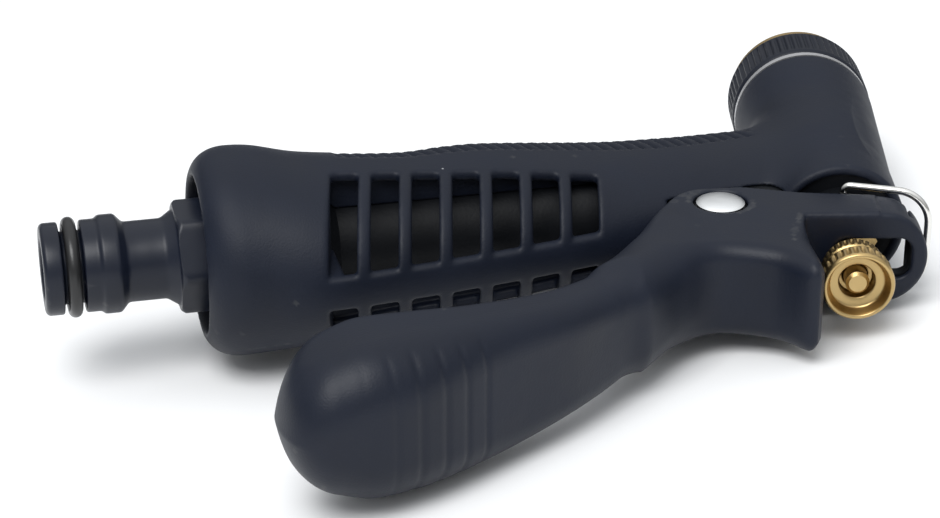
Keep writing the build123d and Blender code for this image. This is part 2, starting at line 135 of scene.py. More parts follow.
def outline_distance(outline):
    """Signed distance from a closed flat outline, negative inside."""
    a = np.array(outline, float)
    b = np.roll(a, -1, axis=0)

    def distance(x, y):
        best = np.full(x.shape, 1e9)
        inside = np.zeros(x.shape, bool)
        for (ax, ay), (bx, by) in zip(a, b):
            ex, ey = bx - ax, by - ay
            t = np.clip(((x - ax) * ex + (y - ay) * ey) / (ex * ex + ey * ey + 1e-12), 0, 1)
            best = np.minimum(best, (x - ax - ex * t) ** 2 + (y - ay - ey * t) ** 2)
            if abs(ey) > 1e-12:
                crossed = ((ay > y) != (by > y)) & (x < ax + (y - ay) * ex / ey)
                inside ^= crossed
        return np.where(inside, -1, 1) * np.sqrt(best)

    return distance


CORNERS = [(i, j, k) for i in (0, 1) for j in (0, 1) for k in (0, 1)]


def skin_of(field, low, high, step):
    """Quads and points of the surface where the field is zero."""
    block = 8
    counts = [int(math.ceil((h - l) / step / block)) * block for l, h in zip(low, high)]
    low = np.array(low, float)
    mids = [l + (np.arange(c // block) + 0.5) * block * step for l, c in zip(low, counts)]
    coarse = np.stack(np.meshgrid(*mids, indexing="ij"), -1)
    far = field(coarse.reshape(-1, 3)).reshape(coarse.shape[:3])
    for axis in range(3):
        far = np.repeat(far, block, axis=axis)
    value = far
    places = np.argwhere(np.abs(value) < 1.5 * block * step)
    near = field(low + places * step)
    value[tuple(places.T)] = near
    inside = value < 0
    nx, ny, nz = (c - 1 for c in counts)
    total = sum(inside[i:nx + i, j:ny + j, k:nz + k].astype(np.int8) for i, j, k in CORNERS)
    cells = np.argwhere((total > 0) & (total < 8))
    number = np.full((nx, ny, nz), -1, np.int64)
    number[tuple(cells.T)] = np.arange(len(cells))
    corner = np.stack([value[tuple((cells + c).T)] for c in CORNERS], 1)
    spot, hits = np.zeros((len(cells), 3)), np.zeros(len(cells))
    for p, a in enumerate(CORNERS):
        for q, b in enumerate(CORNERS):
            if q > p and sum(abs(m - n) for m, n in zip(a, b)) == 1:
                va, vb = corner[:, p], corner[:, q]
                cut = (va < 0) != (vb < 0)
                t = np.where(cut, va / np.where(cut, va - vb, 1), 0)[:, None]
                where = np.array(a) + t * (np.array(b) - np.array(a))
                spot += where * cut[:, None]
                hits += cut
    points = low + (cells + spot / hits[:, None]) * step
    quads = []
    for axis in range(3):
        one = np.eye(3, dtype=int)[axis]
        u, v = np.eye(3, dtype=int)[(axis + 1) % 3], np.eye(3, dtype=int)[(axis + 2) % 3]
        edge = [slice(1, c) for c in (nx, ny, nz)]
        ahead = [slice(1 + one[k], (nx, ny, nz)[k] + one[k]) for k in range(3)]
        start, end = inside[tuple(edge)], inside[tuple(ahead)]
        at = np.argwhere(start != end) + 1
        ring = np.stack([number[tuple((at - d).T)] for d in (0 * u, u, u + v, v)], 1)
        leaving = start[tuple((at - 1).T)]
        ring = np.where(leaving[:, None], ring, ring[:, ::-1])
        quads.append(ring[(ring >= 0).all(1)])
    # settle each point on the surface itself
    for _ in range(2):
        here = field(points)
        slope = np.stack([field(points + d) - field(points - d) for d in 0.05 * np.eye(3)], 1) / 0.1
        slide = here / np.maximum((slope ** 2).sum(1), 0.2)
        points = points - np.clip(slide[:, None] * slope, -0.5 * step, 0.5 * step)
    return points, np.vstack(quads)


def mesh_piece(name, points, faces):
    """New mesh object from points in millimetres."""
    data = bpy.data.meshes.new(name)
    data.from_pydata((np.array(points) * MM).tolist(), [], [list(map(int, f)) for f in faces])
    data.validate()
    data.update()
    data.shade_smooth()
    piece = bpy.data.objects.new(name, data)
    bpy.context.scene.collection.objects.link(piece)
    return piece


def soften(outline, radius, steps=4):
    """Rounds the corners of an open or closed outline of (radius, place) points."""
    p = np.array(outline, float)
    out = [p[0]]
    for i in range(1, len(p) - 1):
        before, after = p[i - 1] - p[i], p[i + 1] - p[i]
        lb, la = np.linalg.norm(before), np.linalg.norm(after)
        reach = min(radius, 0.45 * lb, 0.45 * la)
        start, end = p[i] + before / lb * reach, p[i] + after / la * reach
        for t in np.linspace(0, 1, steps):
            out.append((1 - t) ** 2 * start + 2 * t * (1 - t) * p[i] + t * t * end)
    out.append(p[-1])
    return np.array(out)


def divide(outline, longest):
    """Adds points on the outline's long runs."""
    out = [outline[0]]
    for a, b in zip(outline[:-1], outline[1:]):
        parts = max(1, int(math.ceil(np.linalg.norm(b - a) / longest)))
        out += [a + (b - a) * (k + 1) / parts for k in range(parts)]
    return np.array(out)


def turned(name, outline, centre, way, segments=96, shape=None, closed=True, angle=40):
    """Piece turned about an axis. shape(radius, place, angle) may change the radius."""
    outline = np.array(outline, float)
    if closed and np.linalg.norm(outline[0] - outline[-1]) > 1e-6:
        outline = np.vstack([outline, outline[:1]])
    way = Vector(way).normalized()
    side = Vector((1, 0, 0)) if abs(way.z) > 0.9 else Vector((0, 0, 1))
    other = way.cross(side)
    turns = np.arange(segments) * 2 * math.pi / segments
    rows = outline[:-1] if closed else outline
    r = np.repeat(rows[:, :1], segments, 1)
    s = np.repeat(rows[:, 1:], segments, 1)
    if shape is not None:
        r = shape(r, s, np.repeat(turns[None], len(rows), 0))
    side, other, way = (np.array(v) for v in (side, other, way))
    ray = np.cos(turns)[None, :, None] * side + np.sin(turns)[None, :, None] * other
    points = np.array(centre) + r[..., None] * ray + s[..., None] * way
    n = len(rows)
    faces = []
    for i in range(n if closed else n - 1):
        for j in range(segments):
            k, i2 = (j + 1) % segments, (i + 1) % n
            faces.append((i * segments + j, i * segments + k, i2 * segments + k, i2 * segments + j))
    piece = mesh_piece(name, points.reshape(-1, 3), faces)
    weld = piece.modifiers.new("weld", "WELD")
    weld.merge_threshold = 0.000004
    bpy.context.view_layer.update()
    settled = bpy.data.meshes.new_from_object(piece.evaluated_get(bpy.context.evaluated_depsgraph_get()))
    piece.modifiers.clear()
    piece.data = settled
    fix_normals(piece)
    piece.data.shade_smooth()
    piece.data.set_sharp_from_angle(angle=math.radians(angle))
    return piece


def fix_normals(piece):
    """Makes every face look outward."""
    b = bmesh.new()
    b.from_mesh(piece.data)
    bmesh.ops.recalc_face_normals(b, faces=b.faces)
    b.to_mesh(piece.data)
    b.free()


# --- Materials ----------------------------------------------------------------------------


def material(name, colour, rough, metal=0.0, grain=0.0, grain_size=0.3, mottle=0.15, edge_highlight=None,
             dust=0.0, scratch=0.0, specular=0.5, bare=()):
    """Moulded or machined surface: colour and roughness vary a little, with a fine grain,
    a painted highlight in patches along sharp edges, specks of dust, and bare metal past each (direction,
    place)."""
    m = bpy.data.materials.new(name)
    m.use_nodes = True
    tree = m.node_tree
    link = tree.links.new
    tree.nodes.clear()

    def node(kind, **values):
        made = tree.nodes.new(kind)
        for key, v in values.items():
            if key in made.inputs:
                made.inputs[key].default_value = v
            else:
                setattr(made, key, v)
        return made

    out = node("ShaderNodeOutputMaterial")
    surface = node("ShaderNodeBsdfPrincipled")
    surface.inputs["Metallic"].default_value = metal
    surface.inputs["Specular IOR Level"].default_value = specular
    link(surface.outputs[0], out.inputs[0])
    place = node("ShaderNodeTexCoord").outputs["Object"]

    def noise(per_mm, detail=3.0, roughness=0.55):
        made = node("ShaderNodeTexNoise")
        made.inputs["Scale"].default_value = per_mm * 1000
        made.inputs["Detail"].default_value = detail
        made.inputs["Roughness"].default_value = roughness
        link(place, made.inputs["Vector"])
        return made.outputs["Fac"]

    def ramp(source, stops):
        made = node("ShaderNodeMapRange")
        made.inputs["From Min"].default_value = stops[0]
        made.inputs["From Max"].default_value = stops[1]
        made.inputs["To Min"].default_value = stops[2]
        made.inputs["To Max"].default_value = stops[3]
        link(source, made.inputs["Value"])
        return made.outputs["Result"]

    def mix(factor, first, second):
        made = node("ShaderNodeMix", data_type="RGBA")
        for socket, value in (("Factor", factor), ("A", first), ("B", second)):
            target = [i for i in made.inputs if i.name == socket and i.enabled][0]
            if isinstance(value, bpy.types.NodeSocket):
                link(value, target)
            elif socket == "Factor":
                target.default_value = value
            else:
                target.default_value = (*value, 1)
        return [o for o in made.outputs if o.enabled][0]

    masks = []
    broad = noise(0.06, 4.0)
    fine = noise(1.0 / grain_size, 2.0)
    lighter = tuple(min(1, c * (1 + mottle)) for c in colour)
    darker = tuple(c * (1 - mottle) for c in colour)
    tint = mix(ramp(broad, (0.3, 0.7, 0, 1)), darker, lighter)
    rough_source = ramp(broad, (0.3, 0.7, max(0.02, rough - 0.06), min(1, rough + 0.06)))
    # painted highlight: sharp convex edges, found by pointiness, are made lighter in noisy patches
    if edge_highlight is not None:
        edge = node("ShaderNodeNewGeometry").outputs["Pointiness"]
        edge = ramp(edge, (0.52, 0.6, 0.0, 0.55))
        patch = node("ShaderNodeMath", operation="MULTIPLY")
        link(edge, patch.inputs[0])
        link(ramp(noise(0.5, 4.0), (0.35, 0.65, 0, 1)), patch.inputs[1])
        tint = mix(patch.outputs[0], tint, edge_highlight)
    if dust:
        cells = node("ShaderNodeTexVoronoi")
        cells.inputs["Scale"].default_value = 160
        cells.inputs["Randomness"].default_value = 1.0
        link(place, cells.inputs["Vector"])
        near = ramp(cells.outputs["Distance"], (0.028, 0.05, 1, 0))
        chosen = node("ShaderNodeSeparateColor")
        link(cells.outputs["Color"], chosen.inputs[0])
        pick = ramp(chosen.outputs[0], (1 - dust, 1 - dust + 0.01, 0, 1))
        both = node("ShaderNodeMath", operation="MULTIPLY")
        link(near, both.inputs[0])
        link(pick, both.inputs[1])
        tint = mix(both.outputs[0], tint, (0.35, 0.36, 0.38))
    for way, start in bare:
        along = node("ShaderNodeVectorMath", operation="DOT_PRODUCT")
        link(place, along.inputs[0])
        along.inputs[1].default_value = way
        masks.append(ramp(along.outputs["Value"], (start * MM, (start + 0.1) * MM, 0, 1)))
    if masks:
        either = node("ShaderNodeMath", operation="MAXIMUM")
        link(masks[0], either.inputs[0])
        link(masks[-1], either.inputs[1])
        tint = mix(either.outputs[0], tint, (0.60, 0.60, 0.61))
        link(either.outputs[0], surface.inputs["Metallic"])
    link(tint, surface.inputs["Base Color"])
    height = fine
    if scratch:
        streaks = node("ShaderNodeTexNoise")
        streaks.inputs["Scale"].default_value = 900
        streaks.inputs["Detail"].default_value = 5
        stretch = node("ShaderNodeMapping")
        stretch.inputs["Scale"].default_value = (1.0, 0.08, 0.5)
        link(place, stretch.inputs["Vector"])
        link(stretch.outputs[0], streaks.inputs["Vector"])
        more = node("ShaderNodeMath", operation="MULTIPLY_ADD")
        link(streaks.outputs["Fac"], more.inputs[0])
        more.inputs[1].default_value = scratch
        link(rough_source, more.inputs[2])
        rough_source = more.outputs[0]
    link(rough_source, surface.inputs["Roughness"])
    if grain:
        bump = node("ShaderNodeBump")
        bump.inputs["Strength"].default_value = grain
        bump.inputs["Distance"].default_value = 0.00012
        link(height, bump.inputs["Height"])
        soft = node("ShaderNodeBump")
        soft.inputs["Strength"].default_value = 0.35
        soft.inputs["Distance"].default_value = 0.0006
        link(noise(0.09, 2.0), soft.inputs["Height"])
        link(bump.outputs[0], soft.inputs["Normal"])
        link(soft.outputs[0], surface.inputs["Normal"])
    return m


def wear(piece, finish):
    """Gives the piece this one material."""
    piece.data.materials.clear()
    piece.data.materials.append(finish)


# the edge colour given to each black finish is a painted highlight on its sharp edges
RUBBER = material("black_rubber", (0.0062, 0.0092, 0.0190), 0.52, specular=0.26, grain=0.35,
                  grain_size=0.35, edge_highlight=(0.05, 0.052, 0.056), dust=0.035)
LEVER_SKIN = material("lever_skin", (0.0062, 0.0092, 0.0190), 0.46, specular=0.28, grain=0.25,
                      grain_size=0.4, edge_highlight=(0.055, 0.057, 0.06), dust=0.035)
PLASTIC = material("black_plastic", (0.0055, 0.0080, 0.0165), 0.34, specular=0.34, grain=0.12,
                   grain_size=0.25, edge_highlight=(0.05, 0.05, 0.055))
RING_PLASTIC = material("ring_plastic", (0.0060, 0.0085, 0.0165), 0.44, specular=0.28, grain=0.2,
                        edge_highlight=(0.06, 0.06, 0.065))
SEAL = material("seal_rubber", (0.009, 0.009, 0.0095), 0.30, grain=0.1)
PAINTED = material("painted_zinc", (0.005, 0.006, 0.008), 0.46, specular=0.25, grain=0.3,
                   grain_size=0.6)
# the casting is bare at its front shoulder and at the open end of the socket
BARE_SHOULDER = (tuple(barrel_way), barrel_foot @ barrel_way + 34.9)
BARE_SOCKET_END = ((-1, 0, 0), -32.2)
CASTING = material("painted_casting", (0.004, 0.0048, 0.0065), 0.5, specular=0.22, grain=0.3,
                   grain_size=0.6, bare=(BARE_SHOULDER, BARE_SOCKET_END))
BRASS = material("brass", (0.47, 0.335, 0.15), 0.26, metal=1.0, grain=0.12, grain_size=0.25,
                 scratch=0.12, mottle=0.2)
RIVET = material("rivet_steel", (0.86, 0.87, 0.88), 0.30, metal=1.0, grain=0.08, grain_size=0.3)
NICKEL = material("bright_wire", (0.74, 0.73, 0.70), 0.16, metal=1.0, grain=0.05, grain_size=0.3)
SPRING = material("spring_steel", (0.45, 0.45, 0.46), 0.28, metal=1.0, grain=0.05)

# --- Rubber jacket over handle and barrel --------------------------------------------------

# Sections of the handle: place along X, rear edge, front edge and half width
JACKET = np.array([
    (26.0, -18.3, 18.6, 18.0),
    (36.0, -19.8, 20.9, 17.4),
    (46.0, -21.4, 19.2, 15.6),
    (62.0, -19.9, 17.4, 14.2),
    (72.0, -18.5, 19.4, 13.6),
    (80.0, -17.3, 19.9, 13.1),
    (100.0, -13.7, 19.2, 10.9),
    (112.0, -12.1, 19.5, 10.1),
    (120.0, -11.2, 20.3, 9.6),
    (134.0, -10.4, 20.6, 9.6),
    (146.0, -10.4, 20.6, 9.6),
])
JACKET_CURVE = curve(JACKET, 16)
SLEEVE_START, SLEEVE_END = -15.0, 35.0
SLEEVE = np.array([(SLEEVE_START, 11.6), (0.0, 11.6), (22.0, 12.6), (32.0, 13.1), (SLEEVE_END, 13.1)])
EAR_U, EAR_HALF = 14.7, 1.2
OPENING_R, SOCKET_R, TUBE_R, SLEEVE_BORE_R = 13.5, 12.4, 8.0, 9.8
CAVITY = np.array([(31.2, OPENING_R), (31.6, SOCKET_R), (45.0, SOCKET_R), (50.0, TUBE_R)])
VENT_START, VENT_WIDTH, VENT_PITCH, VENT_COUNT, WALL = 49.6, 4.7, 7.0, 7, 1.9
VENT_REAR_Y, VENT_FRONT_Y, VENT_PLACE_Y, SPINE_HALF = -27.2, -4.8, -2.4, 3.0
HOLLOW_START, HOLLOW_END, HOLLOW_FRONT_Y, LUG_HALF = 48.6, 99.5, -3.0, 5.9
RIB_START, RIB_END, RIB_PITCH, RIB_DEPTH, RIB_SLANT = 51.5, 129.0, 2.38, 1.1, 0.36


def split(points):
    """The points' x, y and distance from the mid-plane."""
    return points[:, 0], points[:, 1], np.abs(points[:, 2])


def along_barrel(points):
    """Place along the barrel, place across it and distance from its axis."""
    d = points - barrel_foot
    s = d @ barrel_way
    u = d @ barrel_across
    return s, u, np.hypot(u, points[:, 2])


def box_2d(x, y, half_x, half_y, radius):
    """Signed distance to a rectangle with round corners, centred on zero."""
    qx, qy = np.abs(x) - half_x + radius, np.abs(y) - half_y + radius
    return np.hypot(np.maximum(qx, 0), np.maximum(qy, 0)) + np.minimum(np.maximum(qx, qy), 0) - radius


LUG_ROOM = Lookup((95, -40), (150, 5), 0.4, outline_distance(
    [(106.8, -5), (108.8, -30), (120.6, -30), (120.6, -19), (130.6, -8), (131, -5)]))


def jacket(points):
    """Signed distance to the jacket: ribbed handle, sleeve and ear, less its hollows and vents."""
    x, y, z = split(points)
    rear, front, half = (np.interp(x, JACKET_CURVE[:, 0], JACKET_CURVE[:, k]) for k in (1, 2, 3))
    centre, reach = (rear + front) / 2, (front - rear) / 2
    a, b = (y - centre) / reach, z / half
    k = np.hypot(a, b) + 1e-9
    slope = np.hypot(a / reach, b / half) / k + 1e-9
    handle = (k - 1) / slope
    plain = handle
    # slanted ribs, as round bars side by side, over the front of the handle
    turn = np.arctan2(b, a)
    phase = (x - RIB_SLANT * turn * half - RIB_START) / RIB_PITCH
    bar = np.abs(np.sin(math.pi * phase))
    end = np.interp(x, (52, 80, 110, 130), (1.44, 1.52, 1.62, 1.50)) - 0.07 * (1 - bar)
    band = step_up(end - turn, 0, 0.10) * step_up(x, RIB_START - 0.3, RIB_START + 0.3)
    band = band * step_up(RIB_END - x, -0.4, 0.4)
    handle = handle + band * (0.12 + RIB_DEPTH * (1 - bar ** 0.8))
    handle = smooth_max(handle, JACKET[0, 0] - x, 7.0)
    s, u, r = along_barrel(points)
    handle = np.maximum(handle, u - 3)
    sleeve = r - np.interp(s, SLEEVE[:, 0], SLEEVE[:, 1])
    sleeve = smooth_max(sleeve, np.maximum(SLEEVE_START - s, s - SLEEVE_END), 1.2)
    body = smooth_min(handle, sleeve, 4.0)
    # small ear at the front of the barrel, on the side away from the handle
    ear = (u - EAR_U) + 0.9 * np.maximum(34.4 - s, 0)
    ear = np.maximum(np.maximum(z - EAR_HALF, s - SLEEVE_END + 0.2), ear)
    ear = np.maximum(ear, 10 - u)
    body = smooth_min(body, ear, 0.8)
    # cavity for the hose adaptor, the casting's socket and the handle tube
    inner = np.hypot(y, z) - np.interp(x, CAVITY[:, 0], CAVITY[:, 1])
    bore = np.maximum(r - SLEEVE_BORE_R, np.abs(s - 10) - 26)
    inner = smooth_min(np.maximum(inner, x - 140), bore, 0.5)
    room = smooth_max(LUG_ROOM(x, y)[0], z - LUG_HALF, 0.6)
    # vents in two rows, each side of the rear spine, running parallel to the barrel
    place = x - (y - VENT_PLACE_Y) * barrel_way[0] / barrel_way[1] - VENT_START - VENT_WIDTH / 2
    number = np.clip(np.round(place / VENT_PITCH), 0, VENT_COUNT - 1)
    vent = box_2d(place - number * VENT_PITCH, y - (VENT_REAR_Y + VENT_FRONT_Y) / 2,
                  VENT_WIDTH / 2, (VENT_FRONT_Y - VENT_REAR_Y) / 2, 1.0)
    vent = smooth_max(vent, SPINE_HALF - z, 0.8)
    hollow = np.maximum(np.maximum(plain + WALL, y - HOLLOW_FRONT_Y),
                        np.maximum(HOLLOW_START - x, x - HOLLOW_END))
    inner = np.minimum(inner, hollow)
    body = smooth_max(body, -inner, 1.0)
    body = smooth_max(body, -room, 0.8)
    return smooth_max(body, -vent, 0.9)


STEP = 0.42
points, quads = skin_of(jacket, (25, -23.5, -19.5), (157, 38, 19.5), STEP)
grip = mesh_piece("grip_jacket", points, quads)
wear(grip, RUBBER)
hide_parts("grip_overmould")
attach(grip, "nozzle")

# --- Skin of the lever -----------------------------------------------------------------------


def at_barrel(u, s):
    """Point of the mid-plane at u across the barrel and s along it."""
    return (barrel_foot + barrel_across * u + barrel_way * s)[:2]


HEAD_HALF, HEAD_END_U, HEAD_REAR = 8.6, 4.8, -27.8
CORE_HALF, POCKET_HALF, SLOT_HALF, SLOT_MIDDLE_U = 7.3, 6.3, 3.7, 3.9
LUG_CLEARANCE_R, WINDOW_R = 7.5, 4.65
neck_outline = np.vstack([
    [(120.3, -12.0), at_barrel(-7.8, -18.3), at_barrel(15, -20.4), at_barrel(15, HEAD_REAR)],
    curve([at_barrel(-8.0, HEAD_REAR), (125.5, -28.3), (124.9, -34.0), (124.4, -39.3), (123.9, -42.8)]),
    curve([(122.6, -44.6), (120.8, -43.9), (116.6, -38.4), (108.5, -34.7), (100.3, -36.8), (93.0, -43.0)]),
    curve([(88.0, -37.0), (96.0, -28.0), (103.8, -17.0), (110.0, -11.3), (119.0, -11.6)]),
])
NECK = Lookup((80, -55), (165, 5), 0.3, outline_distance(neck_outline))
core_outline = np.vstack([
    [(120.0, -13.4), at_barrel(-7.8, -19.6), at_barrel(13.5, -21.6), at_barrel(13.5, -26.5)],
    [at_barrel(-12.2, -26.5), (124.0, -30.0), (123.4, -36.5)],
    curve([(118.0, -34.0), (108.5, -30.3), (100.5, -32.0), (94.6, -38.2)]),
    curve([(90.0, -36.8), (97.4, -27.2), (105.2, -17.0), (111.0, -12.4), (119.0, -13.3)]),
])
CORE = Lookup((80, -55), (165, 5), 0.3, outline_distance(core_outline))
SPINE = Lookup((40, -70), (110, -20), 0.4, outline_distance(
    [(48, -63.5), (47, -59.5), (68, -54), (98, -31), (103, -30), (100, -35), (70, -56)]))
pocket_outline = [at_barrel(-22, 4), at_barrel(-22, -24.3), at_barrel(10.6, -24.3), at_barrel(10.6, 4)]
POCKET = Lookup((85, -40), (165, 15), 0.3, outline_distance(pocket_outline))

# Palm: place, half thickness and half width
PALM = np.array([
    (38.0, -62.3, 9.3, 12.9),
    (45.0, -61.6, 9.5, 13.2),
    (53.0, -59.8, 8.4, 13.0),
    (65.0, -55.4, 6.2, 11.8),
    (77.0, -49.6, 5.3, 10.1),
    (87.0, -42.4, 5.1, 8.8),
    (97.0, -33.0, 5.0, 7.0),
    (104.0, -25.0, 4.6, 5.6),
])
PALM_CURVE = curve(PALM, 12)
PALM_RUN = np.concatenate([[0], np.cumsum(np.hypot(*np.diff(PALM_CURVE[:, :2], axis=0).T))])


def nearest_on_palm(x, y):
    """Run along the palm's middle line, signed distance from that line, and past its end."""
    best = np.full(x.shape, 1e9)
    run, side, past = np.zeros(x.shape), np.zeros(x.shape), np.zeros(x.shape)
    line = PALM_CURVE[:, :2]
    last = len(line) - 2
    for i in range(last + 1):
        e = line[i + 1] - line[i]
        length = np.hypot(*e)
        dx, dy = x - line[i, 0], y - line[i, 1]
        raw = (dx * e[0] + dy * e[1]) / length ** 2
        t = np.clip(raw, 0, 1)
        away = (dx - t * e[0]) ** 2 + (dy - t * e[1]) ** 2
        closer = away < best
        best = np.where(closer, away, best)
        run = np.where(closer, PALM_RUN[i] + t * length, run)
        side = np.where(closer, (e[0] * dy - e[1] * dx) / length, side)
        over = np.where((i == 0) & (raw < 0), -raw, 0) + np.where((i == last) & (raw > 1), raw - 1, 0)
        past = np.where(closer, over * length, past)
    return run, side, past


# The palm narrows towards its end from END_CENTRE along its run, over END_LENGTH
END_CENTRE, END_LENGTH = 8.0, 17.6
PALM_AT = Lookup((15, -80), (115, -10), 0.35, nearest_on_palm)


def round_join(a, b, radius):
    """Intersection of two distance fields with an edge of that radius."""
    qa, qb = a + radius, b + radius
    return np.hypot(np.maximum(qa, 0), np.maximum(qb, 0)) + np.minimum(np.maximum(qa, qb), 0) - radius


def palm(x, y, z):
    """Signed distance to the palm, the run along it and the side of its middle line."""
    run, side, past = PALM_AT(x, y)
    thick = np.interp(run, PALM_RUN, PALM_CURVE[:, 2])
    wide = np.interp(run, PALM_RUN, PALM_CURVE[:, 3])
    rear_edge = np.interp(run, (0, 10, 18, 30, 40, 60), (8.8, 9.0, 9.0, 8.0, 5.6, 4.4))
    front_edge = np.interp(run, (0, 40, 60), (4.0, 3.2, 4.0))
    edge = front_edge + (rear_edge - front_edge) * step_up(-side, -2, 2)
    # the end of the palm is round in plan too
    reach = np.clip((END_CENTRE - run + past) / END_LENGTH, 0, 0.985)
    edge = edge + (6.5 - edge) * step_up(reach, 0.35, 0.9)
    narrow = np.sqrt(1 - reach ** 2)
    slope = wide * reach / (narrow * END_LENGTH)
    flank = (z - wide * narrow) / np.sqrt(1 + slope ** 2)
    bar = round_join(np.hypot(side, past) - thick, flank, np.minimum(edge, thick - 0.3))
    return bar, run, side


def lever(points):
    """Signed distance to the lever's skin, less the channel, pocket, slot and pin windows in it."""
    x, y, z = split(points)
    s, u, r = along_barrel(points)
    neck = NECK(x, y)[0]
    saddle_edge = 0.8 + 2.4 * step_up(-y, 27, 34) + 2.0 * step_up(104 - x, 0, 8)
    side_view = round_join(neck, z - HEAD_HALF, saddle_edge)
    round_end = np.where(u > HEAD_END_U, np.hypot(u - HEAD_END_U, z) - HEAD_HALF, -50)
    side_view = smooth_max(side_view, round_end, 1.0)
    bar, run, side = palm(x, y, z)
    # shallow grooves across the face that the palm of the hand presses
    groove = np.exp(-((((run - 1.5) % 3.8) - 1.9) / 0.5) ** 2) * step_up(-side, 3.5, 6.5)
    groove = groove * step_up(run, 0, 14) * step_up(24.5 - run, 0, 1)
    bar = bar + 0.28 * groove
    body = smooth_min(side_view, bar, 7.0)
    core = smooth_max(CORE(x, y)[0], z - CORE_HALF, 0.3)
    core = np.maximum(core, np.where(u > HEAD_END_U, np.hypot(u - HEAD_END_U, z) - CORE_HALF, -50))
    spine = np.maximum(SPINE(x, y)[0], z - 4)
    inner = np.minimum(core, spine)
    pocket = np.minimum(POCKET(x, y)[0], np.hypot(x - pin_x, y - pin_y) - LUG_CLEARANCE_R)
    pocket = np.minimum(pocket, np.maximum(np.abs(x - 102.15) - 12.15, np.abs(y + 10) - 9.5))
    pocket = np.maximum(pocket, z - POCKET_HALF)
    slot = box_2d(u - SLOT_MIDDLE_U, z, 6.7, SLOT_HALF, 2.4)
    slot = np.maximum(slot, np.abs(s + 26) - 8)
    window = np.maximum(np.hypot(x - pin_x, y - pin_y) - WINDOW_R, 6.5 - z)
    body = smooth_max(body, -inner, 0.2)
    body = smooth_max(body, -np.minimum(pocket, slot), 0.7)
    return smooth_max(body, -window, 0.7)


points, quads = skin_of(lever, (20, -75, -14.5), (158, -5, 14.5), STEP)
lever_skin = mesh_piece("lever_skin", points, quads)
wear(lever_skin, LEVER_SKIN)
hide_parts("lever_cover")
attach(lever_skin, "lever")

# --- Turned pieces -----------------------------------------------------------------------------


def hexagon(flats, start, end, corner=0.25):
    """Changes the radius to a hexagon's between two places."""
    def shape(r, s, turn):
        part = (turn + math.pi / 6) % (math.pi / 3) - math.pi / 6
        flat = flats / 2 / np.cos(part)
        flat = smooth_min(flat, np.full_like(flat, flats / math.sqrt(3) - corner), 0.4)
        within = (s > start) & (s < end)
        return np.where(within, np.minimum(r, flat), r)
    return shape


def knurled(count, depth, start, end, base):
    """Cuts grooves along the axis where the surface is outside the base radius."""
    def shape(r, s, turn):
        wave = 0.5 + 0.5 * np.cos(count * turn)
        fade = step_up(s, start - 0.1, start + 0.5) * step_up(end - s, -0.1, 0.5)
        return np.where(r > base, r - depth * fade * (1 - wave) ** 1.5, r)
    return shape


nose = soften([
    (4.7, 39.0), (4.7, 0.9), (5.3, 0.0), (7.35, 0.0), (7.9, 0.55), (7.9, 3.2), (6.2, 3.2), (6.2, 6.8),
    (7.9, 6.8), (7.9, 9.4), (8.46, 10.0), (8.46, 12.7), (6.9, 14.1), (6.9, 20.6), (8.3, 22.7),
    (9.2, 22.72), (10.0, 23.7), (10.0, 31.0), (9.8, 31.02), (9.8, 39.0), (4.7, 39.0)], 0.45)
adaptor = turned("hose_nose", divide(nose, 2.0), (0, 0, 0), (1, 0, 0), 144, hexagon(17.4, 22.71, 31.01))
wear(adaptor, PLASTIC)
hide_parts("hose_adaptor")
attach(adaptor, "nozzle")

ring_of = [(7.4 + 1.2 * math.cos(t), 5.0 + 1.2 * math.sin(t)) for t in np.linspace(0, 2 * math.pi, 25)[:-1]]
o_ring = turned("nose_o_ring", ring_of, (0, 0, 0), (1, 0, 0), 128)
wear(o_ring, SEAL)
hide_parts("adaptor_o_ring")
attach(o_ring, "nozzle")

front = soften([
    (10.56, 36.6), (12.8, 36.6), (13.3, 37.3), (13.3, 45.8), (12.5, 47.0), (10.56, 47.0),
    (10.56, 36.6)], 0.35)
ring = turned("knurled_ring", divide(front, 0.7), barrel_foot, barrel_way, 540,
              knurled(60, 0.42, 38.0, 45.6, 12.7))
wear(ring, RING_PLASTIC)
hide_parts("front_ring")
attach(ring, "ring")

nut_outline = soften([
    (2.06, -28.1), (3.6, -28.1), (3.6, -30.4), (4.9, -30.4), (5.4, -30.9), (5.4, -32.9), (4.6, -33.5),
    (4.6, -34.2), (6.15, -35.2), (6.15, -38.1), (5.85, -38.6), (5.35, -38.6), (4.65, -36.6),
    (3.0, -36.2), (3.0, -33.8), (2.06, -33.8), (2.06, -28.1)], 0.3)


def nut_knurl(r, s, turn):
    """Knurls on the nut's rim and on its band."""
    r = knurled(30, 0.42, -37.9, -35.2, 5.6)(r, s, turn)
    return knurled(30, 0.35, -32.9, -30.8, 5.0)(r, s, turn)


nut = turned("brass_flow_nut", divide(nut_outline, 0.5), barrel_foot, barrel_way, 360, nut_knurl)
wear(nut, BRASS)
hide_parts("flow_nut")
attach(nut, "nut")

dome = [(0.0, 9.12)] + [(4.15 * math.sin(t), 8.15 + 0.95 * math.cos(t)) for t in np.linspace(0.12, 1.35, 9)]
dome += [(4.15, 8.3), (4.15, 7.35), (2.5, 7.3)]
rivet_outline = dome + [(r, -s) for r, s in reversed(dome)]
rivet = turned("rivet", rivet_outline, (pin_x, pin_y, 0), (0, 0, 1), 72, closed=False, angle=50)
wear(rivet, RIVET)
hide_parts("pivot_pin")
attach(rivet, "lever")

SPRING_R, SPRING_WIRE_R, SPRING_TURNS, SPRING_TRAVEL = 5.2, 0.5, 9, 10.5
SPRING_START, SPRING_END = -7.5, 25.5


